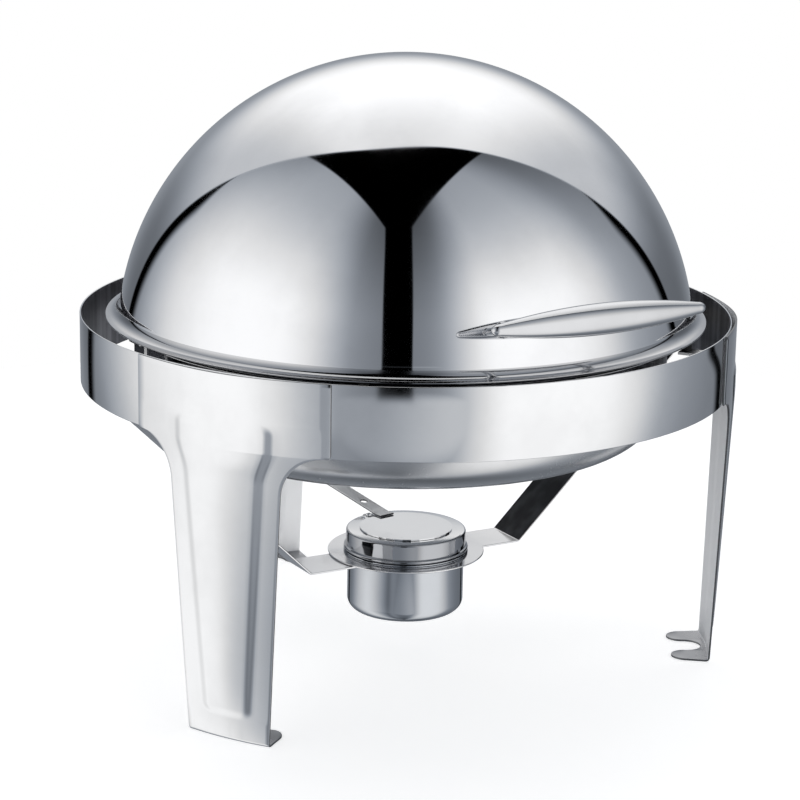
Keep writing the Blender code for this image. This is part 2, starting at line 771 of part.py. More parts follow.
def snuffer_lever(axis, shift, seat):
    """Strip on the back of the disc: a flat foot, then a shallow rise with a round hole."""
    rise = (LEVER_LENGTH - LEVER_FOOT) * LEVER_SLOPE
    line = [(0.0, seat), (LEVER_FOOT, seat), (LEVER_LENGTH, seat + rise)]
    mesh = bent_strip("snuffer_lever", line, LEVER_HALF, LEVER_T)
    turn = math.radians(LEVER_TURN)
    made = add("snuffer_lever", mesh, axis, roughness=0.1, location=shift, turn=turn)
    height = seat + (LEVER_HOLE_AT - LEVER_FOOT) * LEVER_SLOPE
    centre = (LEVER_HOLE_AT, 0, height)
    cut(made, [drill(LEVER_HOLE_R, THROUGH_SHEET, made, centre, (-LEVER_SLOPE, 0, 1))])


def snuffer(body):
    """Disc and lever that turn on a rivet at the collar's edge, under an empty on its axis."""
    pivot_angle = math.radians(SNUFFER_ANGLE)
    pivot = Vector((math.cos(pivot_angle), math.sin(pivot_angle), 0.0)) * SNUFFER_PIVOT
    place = (pivot.x, BURNER_Y + pivot.y, 0.0)
    axis = empty("snuffer_axis", place, body)
    low = COLLAR_TOP + GAP
    bm = bmesh.new()
    outline = snuffer_outline(pivot_angle, pivot)
    face = bm.faces.new([bm.verts.new((x, y, low)) for x, y in outline])
    raised = bmesh.ops.extrude_face_region(bm, geom=[face])
    verts = [v for v in raised["geom"] if isinstance(v, bmesh.types.BMVert)]
    bmesh.ops.translate(bm, verts=verts, vec=(0, 0, SNUFFER_T))
    made = add("snuffer_disc", finish(bm, "snuffer_disc"), axis, roughness=0.1)
    cut(made, [drill(RIVET_R + CLEARANCE, THROUGH_SHEET, made, (0, 0, low), (0, 0, 1), 12)])
    seat = low + SNUFFER_T + GAP
    snuffer_lever(axis, (LEVER_START[0] - pivot.x, LEVER_START[1] - pivot.y, 0.0), seat)
    rivet = [(0.0, low), (RIVET_R, low), (RIVET_R, seat), (RIVET_HEAD_R, seat)]
    rivet += [(RIVET_HEAD_R * 0.8, seat + RIVET_HEAD_EDGE), (0.0, seat + RIVET_HEAD_H)]
    add("snuffer_rivet", revolve("snuffer_rivet", rivet, 16), body, location=place)


def build():
    clear_scene()
    body = empty("body_axis", (0.0, AXIS_Y, 0.0))
    lid = empty("lid_axis", (0.0, 0.0, HINGE_Z), body)
    ring_band(body)
    legs(body)
    hinges(body)
    front_brackets(body)
    lid_dome(lid)
    lid_ears(lid)
    handle_grip(lid)
    handle_mounts(lid)
    pans(body)
    burner(body)


build()
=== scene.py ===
"""Looks of the roll top chafer: fine sheet-metal pieces, polished and satin steel, studio light."""

import json
import math

import bmesh
import bpy
from mathutils import Matrix, Vector

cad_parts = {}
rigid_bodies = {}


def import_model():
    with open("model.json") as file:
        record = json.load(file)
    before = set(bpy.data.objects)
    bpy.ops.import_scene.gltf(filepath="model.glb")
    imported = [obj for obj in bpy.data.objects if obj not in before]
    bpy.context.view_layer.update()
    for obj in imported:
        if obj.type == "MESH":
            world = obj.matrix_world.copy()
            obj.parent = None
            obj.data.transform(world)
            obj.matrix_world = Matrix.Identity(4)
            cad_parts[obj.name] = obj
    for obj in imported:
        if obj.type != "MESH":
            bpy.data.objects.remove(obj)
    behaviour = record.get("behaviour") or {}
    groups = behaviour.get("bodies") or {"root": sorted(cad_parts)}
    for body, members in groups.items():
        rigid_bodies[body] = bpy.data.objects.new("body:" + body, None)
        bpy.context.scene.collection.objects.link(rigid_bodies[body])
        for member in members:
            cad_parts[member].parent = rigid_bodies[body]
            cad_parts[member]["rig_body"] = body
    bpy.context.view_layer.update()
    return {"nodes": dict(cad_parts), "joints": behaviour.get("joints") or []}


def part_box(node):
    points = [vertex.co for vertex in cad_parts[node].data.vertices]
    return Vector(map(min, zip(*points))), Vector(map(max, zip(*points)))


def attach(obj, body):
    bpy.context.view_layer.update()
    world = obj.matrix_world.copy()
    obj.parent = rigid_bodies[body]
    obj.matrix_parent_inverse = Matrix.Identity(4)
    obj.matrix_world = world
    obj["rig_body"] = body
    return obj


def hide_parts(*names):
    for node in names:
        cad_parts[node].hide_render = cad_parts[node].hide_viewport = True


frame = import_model()

# Frame of the body, read from the CAD
RING_LOW, RING_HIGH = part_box("ring_band")
RING_R = (RING_HIGH.x - RING_LOW.x) / 2
RING_TOP = RING_HIGH.z
RING_BOTTOM = RING_LOW.z
AXIS = Vector((0.0, (RING_LOW.y + RING_HIGH.y) / 2, 0.0))
HINGE = Vector(next(j["pos_m"] for j in frame["joints"] if j["name"] == "lid_roll"))
LID_LOW, LID_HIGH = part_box("lid_dome")
LID_R = LID_HIGH.z - HINGE.z
FLANGE_R = (LID_HIGH.x - LID_LOW.x) / 2
FLANGE_LOW = LID_LOW.z - HINGE.z
GRIP_LOW, GRIP_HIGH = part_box("handle_grip")
GRIP_AT = (GRIP_LOW + GRIP_HIGH) / 2
GRIP_HALF = (GRIP_HIGH.x - GRIP_LOW.x) / 2
GRIP_R = (GRIP_HIGH.z - GRIP_LOW.z) / 2

# Sheet metal
RING_T = 0.0012
LID_T = 0.0010
COVE_R = 0.0090
COVE_END = 262.0
FLANGE_FLAT = 0.0006
LEG_T = 0.0015
GAP = 0.0003
FINE = 256
VERY_FINE = 320

# Handle's grip
GRIP_TIP_R = 0.0032
GRIP_CAP = 0.0060

# Legs
LEG_ANGLES = {"leg_left": -150.0, "leg_right": -30.0, "leg_rear": 90.0}
HEAD_HALF = 0.0814
HEAD_CORNER = 0.0020
HEAD_BULGE = 0.0027
FILLET_R = 0.0320
STEM_TOP_HALF = 0.0458
STEM_FOOT_HALF = 0.0353
FOOT_R = 0.2457
BEND_R = 0.0030
NOTCH_HALF = 0.0130
NOTCH_START = 0.0060
EMBOSS_H = 0.0018
EMBOSS_EDGE = 0.0080
EMBOSS_PILLOW = 0.45
EMBOSS_TOP = 0.2410
EMBOSS_BOTTOM = 0.0170
EMBOSS_WIDE_Z = 0.2240
EMBOSS_NECK_Z = 0.1960
EMBOSS_WIDE_HALF = 0.0415
EMBOSS_NECK_HALF = 0.0341
EMBOSS_FOOT_HALF = 0.0220
EMBOSS_CORNER = 0.0090
HEAD_STEP = 0.004
STEM_STEP = 0.008
STEM_FIRST = 0.030
EDGE_BEVEL = 0.0004
FOOT_SLOT = 3

# Burner arms
ARM_T = 0.0015
ARM_SLOPE = 0.97
ARM_BEND_X = 0.0940
ARM_BEND_R = 0.0035

# Snuffer's lever, placed from the burner's axis
LEVER_START = (-0.0005, 0.0295)
LEVER_TURN = 100.0
LEVER_HALF = 0.0068
LEVER_T = 0.0012
LEVER_FOOT = 0.0070
LEVER_LENGTH = 0.0740
LEVER_SLOPE = 0.1650
LEVER_BEND_R = 0.0020
LEVER_HOLE_AT = 0.0298
LEVER_HOLE_R = 0.0030

# Pans: wall radius and corner radius of each
PANS = {"water_pan": (0.2020, 0.0400), "food_pan": (0.1960, 0.0300)}
PAN_T = 0.0010
PAN_RIM_R = 0.0030
PAN_SHOWN = 0.0150

# Burner's ring plate, cup and collar
PLATE_HOLE_R = 0.0462
PLATE_SOFT = 0.0003
CUP_WALL = 0.04575
CUP_CORNER = 0.0090
CUP_T = 0.0008
CUP_LIP_R = 0.0006
COLLAR_SKIRT = 0.0472
COLLAR_HOLE = 0.0300
COLLAR_EDGE_R = 0.0018
BEAD_INSET = 0.0006

# Camera, at the photo's viewing angle
CAMERA_PLACE = Vector((-0.9513, -1.6556, 0.6929))
CAMERA_HEADING = 29.78
CAMERA_PITCH = 14.50
CAMERA_ROLL = 0.96
CAMERA_LENS = 113.9

# Floor
FLOOR_R = 1.0
FLOOR_DROP = 0.0002
FLOOR_GLOW = 0.62

# Light by direction around the object (0 and 1 are straight behind, 0.5 is the camera's side)
SIDE_LIGHT = (
    (0.00, 0.24),
    (0.11, 0.17),
    (0.15, 0.31),
    (0.20, 0.68),
    (0.26, 0.97),
    (0.36, 1.00),
    (0.40, 0.74),
    (0.44, 0.21),
    (0.50, 0.18),
    (0.54, 0.22),
    (0.575, 0.78),
    (0.60, 1.00),
    (0.70, 0.99),
    (0.745, 0.66),
    (0.78, 0.33),
    (0.83, 0.24),
    (0.89, 0.17),
    (1.00, 0.24),
)
# Light by height, from straight down (0) to straight up (1)
PANEL_FALL = (
    (0.00, 0.45),
    (0.04, 0.75),
    (0.10, 0.96),
    (0.20, 1.00),
    (0.66, 1.00),
    (0.72, 0.93),
    (0.80, 0.72),
    (0.86, 0.55),
    (0.92, 0.40),
    (1.00, 0.28),
)
BACKDROP = (
    (0.00, 0.20),
    (0.30, 0.20),
    (0.46, 0.24),
    (0.55, 0.26),
    (0.60, 0.37),
    (0.65, 0.60),
    (0.70, 0.84),
    (0.75, 1.00),
    (0.90, 1.00),
    (0.96, 0.80),
    (1.00, 0.68),
)
PANEL_POWER = 1.16
BACKDROP_POWER = 1.24
BACKDROP_SPAN = (0.20, 0.65)
BACKDROP_SIDE = 0.5
COOL_CAST = (0.92, 1.0, 1.12)
CAST_SPAN = (0.15, 0.90)

# Light thrown back by the floor in front of the object
BOUNCE_LEFT = 0.37
BOUNCE_RIGHT = 0.60
BOUNCE_SPAN = (-0.22, 0.30)
BOUNCE_RISE = (-0.10, 0.05)
BOUNCE_DEPTH = (0.7, 0.9)

# The left panel fades towards the floor and the gap
LOW_SHADE = 0.75
SHADE_START = (0.26, 0.42)
SHADE_END = (0.40, 0.45)
SHADE_RISE = (-0.42, -0.26)

# Dark gap between the panels: a funnel, narrow in front and wide overhead
GAP_SHIFT = 0.053
GAP_TOP_HALF = 0.363
GAP_TAPER = 0.425
GAP_BOW = 0.18
GAP_HALF = 0.083
GAP_FLARE = 0.018
GAP_NECK = (0.5, 1.0)
GAP_BLUR = 0.006
GAP_RISE = (-0.12, -0.02)
GAP_BACK = (-0.45, -0.25)

# Where the panels end and the backdrop begins: start, fade and bow, each on the left and right
PANEL_EDGE = ((-0.04, -0.08), (0.98, 0.68), (0.28, 0.13))
EDGE_SPAN = 0.3
EDGE_BLUR = 0.008
LOW_RIGHT_REACH = 0.09
LOW_RIGHT_RISE = (-0.24, -0.14)

# Dark seam along the panels' edge, closing overhead
SEAM_WIDTH = 0.08
SEAM_RISE = (0.35, 0.62)
SEAM_FADE = (0.5, 1.3)
SEAM_LEAST = 0.001

# Steel's surface: sizes of its smears, hairline scratches, grain and waves
SMEAR_SCALE = 16.0
HAIR_STRETCH = (900.0, 60.0, 500.0)
GRAIN_SCALE = 2500.0
GRAIN_DEPTH = 0.00002
WAVE_SCALE = 9.0
WAVE_DEPTH = 0.0004


# ---------------------------------------------------------------- mesh helpers


def arc(cx, cz, radius, start, end, steps):
    points = []
    for i in range(steps + 1):
        a = math.radians(start + (end - start) * i / steps)
        points.append((cx + radius * math.cos(a), cz + radius * math.sin(a)))
    return points


def finish_mesh(bm, name, degrees=40.0):
    bmesh.ops.recalc_face_normals(bm, faces=bm.faces)
    mesh = bpy.data.meshes.new(name)
    bm.to_mesh(mesh)
    bm.free()
    mesh.shade_smooth()
    mesh.set_sharp_from_angle(angle=math.radians(degrees))
    return mesh


def place(name, mesh, material, nodes, at=(0.0, 0.0, 0.0), turn=0.0):
    """Show a piece in place of CAD nodes, riding on their body."""
    made = bpy.data.objects.new(name, mesh)
    made.location = at
    made.rotation_euler = (0.0, 0.0, math.radians(turn))
    mesh.materials.append(material)
    bpy.context.scene.collection.objects.link(made)
    bpy.context.view_layer.update()
    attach(made, frame["nodes"][nodes[0]]["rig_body"])
    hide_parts(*nodes)
    return made


def lathe(outline, name, segments=FINE, axis="Z"):
    """Turn a closed (radius, height) outline about an axis. Points on the axis become poles."""
    bm = bmesh.new()
    rings = []
    for radius, height in outline:
        if radius < 1e-7:
            rings.append([bm.verts.new((0.0, 0.0, height))])
            continue
        ring = []
        for i in range(segments):
            a = 2 * math.pi * i / segments
            ring.append(bm.verts.new((radius * math.cos(a), radius * math.sin(a), height)))
        rings.append(ring)
    for k, low in enumerate(rings):
        high = rings[(k + 1) % len(rings)]
        if len(low) == 1 and len(high) == 1:
            continue
        for i in range(segments):
            j = (i + 1) % segments
            corners = [low[i % len(low)], low[j % len(low)], high[j % len(high)], high[i % len(high)]]
            bm.faces.new(list(dict.fromkeys(corners)))
    if axis == "X":
        bmesh.ops.rotate(bm, verts=bm.verts, matrix=Matrix.Rotation(math.radians(90), 3, "Y"))
    return finish_mesh(bm, name)


def offset_line(outer, thickness):
    """Offset an open line to its left side and close it into an outline with a rounded rim."""
    inner = []
    for k, (r, z) in enumerate(outer):
        here = Vector((r, z))
        before = Vector(outer[max(k - 1, 0)])
        after = Vector(outer[min(k + 1, len(outer) - 1)])
        first = (here - before).normalized() if k else (after - here).normalized()
        second = (after - here).normalized() if k < len(outer) - 1 else first
        normal = Vector((-(first.y + second.y), first.x + second.x)).normalized()
        scale = 1 / max(0.5, normal.dot(Vector((-first.y, first.x))))
        moved = here + normal * thickness * scale
        inner.append((0.0 if abs(r) < 1e-7 else moved.x, moved.y))
    return outer + rim_points(outer[-2], outer[-1], inner[-1]) + inner[::-1]


def rim_points(before, outer, inner, steps=4):
    """Half-round edge between the two sides of a sheet."""
    along = (Vector(outer) - Vector(before)).normalized()
    middle = (Vector(outer) + Vector(inner)) / 2
    half = (Vector(outer) - Vector(inner)) / 2
    points = []
    for i in range(1, steps):
        a = math.pi * i / steps
        point = middle - along * half.length + half * math.cos(a) + along * half.length * math.sin(a)
        points.append((point.x, point.y))
    return points


def rounded(line, radius, steps=6):
    """Round the inner corners of an open line."""
    points = [line[0]]
    for before, corner, after in zip(line, line[1:], line[2:]):
        here = Vector(corner)
        back = (Vector(before) - here).normalized()
        ahead = (Vector(after) - here).normalized()
        turn = back.angle(ahead)
        reach = radius / math.tan(turn / 2)
        start = here + back * reach
        end = here + ahead * reach
        centre = here + (back + ahead).normalized() * radius / math.sin(turn / 2)
        first = start - centre
        second = end - centre
        sweep = first.angle(second)
        for i in range(steps + 1):
            share = i / steps
            mix = first * math.sin((1 - share) * sweep) + second * math.sin(share * sweep)
            point = centre + mix / math.sin(sweep)
            points.append((point.x, point.y))
    points.append(line[-1])
    return points


def strip_mesh(name, line, half, thickness):
    """Bent sheet strip along a line of (across, height) points, with softened edges."""
    outline = offset_line(line, thickness)
    bm = bmesh.new()
    edge = abs(thickness) * 0.25
    rows = []
    for y, inset in ((-half, edge), (-half + edge, 0.0), (half - edge, 0.0), (half, edge)):
        row = []
        count = len(outline)
        for k, (x, z) in enumerate(outline):
            side = Vector(outline[(k + 1) % count]) - Vector(outline[k - 1])
            normal = Vector((side.y, -side.x)).normalized()
            sign = 1.0 if thickness > 0 else -1.0
            row.append(bm.verts.new((x - normal.x * inset * sign, y, z - normal.y * inset * sign)))
        rows.append(row)
    count = len(outline)
    for low, high in zip(rows, rows[1:]):
        for k in range(count):
            j = (k + 1) % count
            bm.faces.new((low[k], low[j], high[j], high[k]))
    caps = [bm.faces.new(rows[0]), bm.faces.new(rows[-1][::-1])]
    bmesh.ops.triangulate(bm, faces=caps, ngon_method="EAR_CLIP")
    return finish_mesh(bm, name, 35.0)


# ---------------------------------------------------------------- materials


def nodes_of(material):
    material.use_nodes = True
    return material.node_tree.nodes, material.node_tree.links


def add_node(nodes, kind, **inputs):
    node = nodes.new(kind)
    for key, value in inputs.items():
        node.inputs[key.replace("_", " ")].default_value = value
    return node


def ranged(nodes, links, source, low, high, to_low, to_high):
    node = nodes.new("ShaderNodeMapRange")
    node.interpolation_type = "SMOOTHSTEP"
    node.inputs["From Min"].default_value = low
    node.inputs["From Max"].default_value = high
    node.inputs["To Min"].default_value = to_low
    node.inputs["To Max"].default_value = to_high
    links.new(source, node.inputs["Value"])
    return node.outputs["Result"]


def noise(nodes, links, coords, scale, stretch=(1.0, 1.0, 1.0), detail=3.0):
    mapping = nodes.new("ShaderNodeMapping")
    mapping.inputs["Scale"].default_value = stretch
    links.new(coords, mapping.inputs["Vector"])
    node = add_node(nodes, "ShaderNodeTexNoise", Scale=scale, Detail=detail, Roughness=0.6)
    links.new(mapping.outputs["Vector"], node.inputs["Vector"])
    return node.outputs["Fac"]


def maths(nodes, links, operation, first, second):
    node = nodes.new("ShaderNodeMath")
    node.operation = operation
    for socket, value in zip(node.inputs, (first, second)):
        if isinstance(value, (int, float)):
            socket.default_value = value
        else:
            links.new(value, socket)
    return node.outputs["Value"]


def spun_rings(nodes, links, coords, pitch):
    """Fine rings about the local Z axis, as left by polishing on a lathe."""
    parts = nodes.new("ShaderNodeSeparateXYZ")
    links.new(coords, parts.inputs["Vector"])
    xx = maths(nodes, links, "MULTIPLY", parts.outputs["X"], parts.outputs["X"])
    yy = maths(nodes, links, "MULTIPLY", parts.outputs["Y"], parts.outputs["Y"])
    radius = maths(nodes, links, "SQRT", maths(nodes, links, "ADD", xx, yy), 0.0)
    path = maths(nodes, links, "ADD", radius, parts.outputs["Z"])
    node = add_node(nodes, "ShaderNodeTexNoise", Scale=1.0 / pitch, Detail=2.0)
    node.noise_dimensions = "1D"
    links.new(path, node.inputs["W"])
    return node.outputs["Fac"]


def mixed(nodes, links, factor, first, second, blend_type="MIX"):
    """Mix two colours, each one a socket or a tuple."""
    node = nodes.new("ShaderNodeMix")
    node.data_type = "RGBA"
    node.blend_type = blend_type
    if isinstance(factor, float):
        node.inputs["Factor"].default_value = factor
    else:
        links.new(factor, node.inputs["Factor"])
    for name, colour in (("A", first), ("B", second)):
        if isinstance(colour, tuple):
            node.inputs[name].default_value = (*colour, 1.0)
        else:
            links.new(colour, node.inputs[name])
    return node.outputs["Result"]


def dimmed(colour, share):
    return tuple(channel * share for channel in colour)


def bumped(nodes, links, height, strength, depth, below=None):
    """Bump from a height, on top of another bump where one is given."""
    node = add_node(nodes, "ShaderNodeBump", Strength=strength, Distance=depth)
    links.new(height, node.inputs["Height"])
    if below:
        links.new(below, node.inputs["Normal"])
    return node.outputs["Normal"]


def steel(name, colour, rough, smudge, grain, wave, **extras):
    """Stainless steel: uneven polish, hairline scratches, grain and a little waviness.

    Extras: spun is the pitch of rings left by a lathe, stretch draws out the grain, streaks is the
    scale of lighter marks down the piece, and anisotropy and metallic are the shader's own.
    """
    material = bpy.data.materials.new(name)
    nodes, links = nodes_of(material)
    shader = nodes["Principled BSDF"]
    anisotropy = extras.get("anisotropy", 0.0)
    shader.inputs["Metallic"].default_value = extras.get("metallic", 1.0)
    shader.inputs["Anisotropic"].default_value = anisotropy
    coords = nodes.new("ShaderNodeTexCoord").outputs["Object"]

    smears = noise(nodes, links, coords, SMEAR_SCALE, detail=4.0)
    polish = ranged(nodes, links, smears, 0.40, 0.72, rough, rough + smudge)
    hairs = noise(nodes, links, coords, 1.0, HAIR_STRETCH, 1.0)
    scratches = ranged(nodes, links, hairs, 0.66, 0.80, 0.0, smudge * 0.8)
    links.new(maths(nodes, links, "ADD", polish, scratches), shader.inputs["Roughness"])

    second = dimmed(colour, 0.93)
    if "streaks" in extras:
        second = dimmed(colour, 2.6)
        smears = noise(nodes, links, coords, extras["streaks"], (1.0, 1.0, 0.02), 2.0)
    share = ranged(nodes, links, smears, 0.35, 0.75, 0.0, 1.0)
    links.new(mixed(nodes, links, share, colour, second), shader.inputs["Base Color"])

    waves = noise(nodes, links, coords, WAVE_SCALE, detail=1.0)
    waved = bumped(nodes, links, waves, wave, WAVE_DEPTH)
    if "spun" in extras:
        fine = spun_rings(nodes, links, coords, extras["spun"])
    else:
        fine = noise(nodes, links, coords, GRAIN_SCALE, extras.get("stretch", (1.0, 1.0, 1.0)), 2.0)
    links.new(bumped(nodes, links, fine, grain, GRAIN_DEPTH, waved), shader.inputs["Normal"])
    if anisotropy:
        tangent = nodes.new("ShaderNodeTangent")
        tangent.direction_type = "RADIAL"
        tangent.axis = "Z"
        links.new(tangent.outputs["Tangent"], shader.inputs["Tangent"])
    return material


def soft_plastic(name, colour, rough, mottle):
    """Rubber or nylon with fine mottling and an uneven sheen."""
    material = bpy.data.materials.new(name)
    nodes, links = nodes_of(material)
    shader = nodes["Principled BSDF"]
    coords = nodes.new("ShaderNodeTexCoord").outputs["Object"]
    grain = noise(nodes, links, coords, 900.0, detail=3.0)
    links.new(ranged(nodes, links, grain, 0.3, 0.7, rough - 0.1, rough + 0.1), shader.inputs["Roughness"])
    tone = mixed(nodes, links, grain, colour, dimmed(colour, mottle))
    links.new(tone, shader.inputs["Base Color"])
    links.new(bumped(nodes, links, grain, 0.3, 0.00005), shader.inputs["Normal"])
    return material


MIRROR = steel("mirror_steel", (0.86, 0.865, 0.88), 0.03, 0.03, 0.02, 0.015)
SHEET = steel("polished_sheet", (0.84, 0.845, 0.855), 0.06, 0.05, 0.03, 0.05)
STRAP = steel("bright_strap", (0.80, 0.80, 0.81), 0.12, 0.08, 0.05, 0.05)
PLAIN = steel("plain_steel", (0.66, 0.665, 0.67), 0.24, 0.10, 0.12, 0.05)
GRIP = steel("satin_grip", (0.66, 0.665, 0.68), 0.10, 0.04, 0.08, 0.02, stretch=(0.05, 1, 1))
PAN = steel("satin_pan", (0.74, 0.745, 0.755), 0.20, 0.08, 0.10, 0.02, spun=0.0004, anisotropy=0.5)
CUP = steel("spun_cup", (0.56, 0.58, 0.61), 0.07, 0.05, 0.08, 0.02, spun=0.0003)
# Painted shade: near-black steel with lighter streaks, put on inner and hidden faces where shade falls.
PAINTED_SHADE = steel("painted_shade_inner_face", (0.13, 0.13, 0.14), 0.30, 0.15, 0.10, 0.10, streaks=90.0)
FLANGE = steel("flange_steel", (0.58, 0.585, 0.60), 0.07, 0.05, 0.05, 0.02)
COLLAR = steel("polished_collar", (0.44, 0.45, 0.47), 0.05, 0.05, 0.04, 0.02)
# Painted light: the lever is pale and nearly matte so that it shows bright under the pan, in place of its
# reflection of the bright surroundings.
LEVER = steel("pale_lever_painted_reflection", (0.93, 0.93, 0.935), 0.30, 0.08, 0.10, 0.03, metallic=0.2)
# Painted reflection: pale, nearly matte steel that stands in for the white floor's reflection in the legs'
# inside.
PALE_INSIDE = steel("pale_inside_painted_reflection", (0.93, 0.935, 0.945), 0.34, 0.10, 0.10, 0.03, metallic=0.15)
CUT = steel("cut_edge", (0.16, 0.165, 0.17), 0.30, 0.10, 0.10, 0.03)
# Darker steel for the feet, where they lie on the floor.
TREAD = steel("darker_foot_steel", (0.34, 0.345, 0.36), 0.25, 0.10, 0.10, 0.03)
# Near-black steel with lighter streaks, for the burner arms' slope and, as painted shade, the lever's cut
# edges.
NEAR_BLACK = steel("near_black_steel", (0.030, 0.030, 0.032), 0.30, 0.12, 0.10, 0.05, streaks=60.0)
DISC = steel("bright_disc", (0.86, 0.865, 0.875), 0.10, 0.06, 0.04, 0.02)
RUBBER = soft_plastic("silicone", (0.03, 0.03, 0.03), 0.65, 0.8)
NYLON = soft_plastic("nylon", (0.80, 0.79, 0.74), 0.5, 0.92)


# ---------------------------------------------------------------- lid


def lid():
    meet = FLANGE_LOW + LID_T + COVE_R
    foot = math.degrees(math.asin(meet / LID_R))
    line = arc(0.0, 0.0, LID_R, 90.0, foot, 90)
    line[0] = (0.0, LID_R)
    centre_r = LID_R * math.cos(math.radians(foot)) + COVE_R
    line += arc(centre_r, meet, COVE_R, 180.0, COVE_END, 14)[1:]
    line += [(FLANGE_R - FLANGE_FLAT, FLANGE_LOW + LID_T), (FLANGE_R, FLANGE_LOW + LID_T)]
    mesh = lathe(offset_line(line, -LID_T), "dome_shell", VERY_FINE)
    place("dome_shell", mesh, MIRROR, ["lid_dome"], HINGE)
    mesh.materials.append(FLANGE)
    mesh.materials.append(PAINTED_SHADE)
    # Underside faces at the flange are painted dark as shade; the top faces get the flange steel.
    for face in mesh.polygons:
        if face.center.z < meet and abs(face.normal.z) > 0.35:
            face.material_index = 1 if face.normal.z > 0 else 2


def grip_radius(x):
    share = min(abs(x) / GRIP_HALF, 1.0)
    return GRIP_TIP_R + (GRIP_R - GRIP_TIP_R) * (1 - share**2)


def handle():
    body = GRIP_HALF - GRIP_CAP
    end_r = grip_radius(body)
    cap = []
    for degrees in (12, 30, 50, 70):
        a = math.radians(degrees)
        cap.append((end_r * math.cos(a), body + GRIP_CAP * math.sin(a)))
    outline = [(0.0, -GRIP_HALF)] + [(r, -x) for r, x in reversed(cap)]
    for i in range(61):
        x = -body + 2 * body * i / 60
        outline.append((grip_radius(x), x))
    outline += cap + [(0.0, GRIP_HALF)]
    place("grip", lathe(outline, "grip", 64, "X"), GRIP, ["handle_grip"], GRIP_AT)


# ---------------------------------------------------------------- stand


def ring():
    line = [(RING_R, RING_BOTTOM + RING_T / 2), (RING_R, RING_TOP - RING_T / 2)]
    line += arc(RING_R - RING_T / 2, RING_TOP - RING_T / 2, RING_T / 2, 0.0, 180.0, 6)[1:]
    line += arc(RING_R - RING_T / 2, RING_BOTTOM + RING_T / 2, RING_T / 2, 180.0, 360.0, 6)[:-1]
    mesh = lathe(line, "ring_sheet", VERY_FINE)
    place("ring_sheet", mesh, SHEET, ["ring_band"], AXIS)
    mesh.materials.append(PAINTED_SHADE)
    # The band's inside is painted dark as shade.
    for face in mesh.polygons:
        face.material_index = 1 if face.center.dot(face.normal) < -RING_R / 2 else 0


def smooth_step(share):
    share = min(max(share, 0.0), 1.0)
    return share * share * (3 - 2 * share)


def stem_half(z):
    """Half width of a leg at a height: wide head, round fillet, tapered stem."""
    if z >= RING_BOTTOM + HEAD_CORNER:
        return HEAD_HALF
    if z >= RING_BOTTOM:
        drop = HEAD_CORNER - (z - RING_BOTTOM)
        return HEAD_HALF - HEAD_CORNER + math.sqrt(HEAD_CORNER**2 - drop**2)
    low = RING_BOTTOM - FILLET_R
    if z > low:
        return STEM_TOP_HALF + FILLET_R - math.sqrt(max(FILLET_R**2 - (z - low) ** 2, 0.0))
    return STEM_FOOT_HALF + (STEM_TOP_HALF - STEM_FOOT_HALF) * z / low


def emboss_half(z):
    """Half width of the raised panel at a height, with rounded ends."""
    z = min(max(z, EMBOSS_BOTTOM), EMBOSS_TOP)
    if z >= EMBOSS_NECK_Z:
        share = smooth_step((z - EMBOSS_NECK_Z) / (EMBOSS_WIDE_Z - EMBOSS_NECK_Z))
        half = EMBOSS_NECK_HALF + (EMBOSS_WIDE_HALF - EMBOSS_NECK_HALF) * share
    else:
        share = (z - EMBOSS_BOTTOM) / (EMBOSS_NECK_Z - EMBOSS_BOTTOM)
        half = EMBOSS_FOOT_HALF + (EMBOSS_NECK_HALF - EMBOSS_FOOT_HALF) * share
    end = min(EMBOSS_TOP - z, z - EMBOSS_BOTTOM)
    if end < EMBOSS_CORNER:
        half -= EMBOSS_CORNER - math.sqrt(EMBOSS_CORNER**2 - (EMBOSS_CORNER - end) ** 2)
    return half


def emboss_raise(u, z):
    """Height of the raised panel: a smooth shoulder around its outline."""
    if not EMBOSS_BOTTOM < z < EMBOSS_TOP:
        return 0.0
    half = emboss_half(z)
    side = half - abs(u)
    end = min(EMBOSS_TOP - z, z - EMBOSS_BOTTOM)
    shoulder = smooth_step(side / EMBOSS_EDGE) * smooth_step(end / EMBOSS_EDGE)
    pillow = smooth_step(side / half) * smooth_step(end / half)
    return EMBOSS_H * ((1 - EMBOSS_PILLOW) * shoulder + EMBOSS_PILLOW * pillow)


def leg_radius(u, z):
    """Radius of the leg's outer face before the raised panel."""
    top = RING_R + GAP + LEG_T
    bulge = HEAD_BULGE * math.cos(math.pi / 2 * min(abs(u) / HEAD_HALF, 1.0)) ** 2
    if z >= RING_BOTTOM:
        return top + bulge
    return FOOT_R + (top + bulge - FOOT_R) * z / RING_BOTTOM


def leg_heights():
    """Heights of the rows of a leg, close together where the outline turns."""
    low = RING_BOTTOM - FILLET_R
    heights = {RING_TOP, RING_BOTTOM, RING_BOTTOM + HEAD_CORNER, RING_BOTTOM + HEAD_CORNER * 0.4, BEND_R}
    heights |= {low + FILLET_R * math.sin(math.radians(d)) for d in range(0, 90, 5)}
    for end, inward in ((EMBOSS_TOP, -1), (EMBOSS_BOTTOM, 1)):
        heights |= {end + inward * EMBOSS_CORNER * share / 10 for share in range(11)}
    heights |= {RING_TOP - step * HEAD_STEP for step in range(8)}
    heights |= {STEM_FIRST + step * STEM_STEP for step in range(20)}
    return sorted((z for z in heights if z >= BEND_R), reverse=True)


def leg_columns(z):
    """Positions across half a leg: flat panel, shoulder of the panel, rim."""
    edge = emboss_half(z)
    half = stem_half(z)
    flat = edge - EMBOSS_EDGE
    columns = [flat * i / 8 for i in range(8)]
    columns += [flat + EMBOSS_EDGE * i / 6 for i in range(6)]
    return columns + [edge + (half - edge) * i / 6 for i in range(7)]


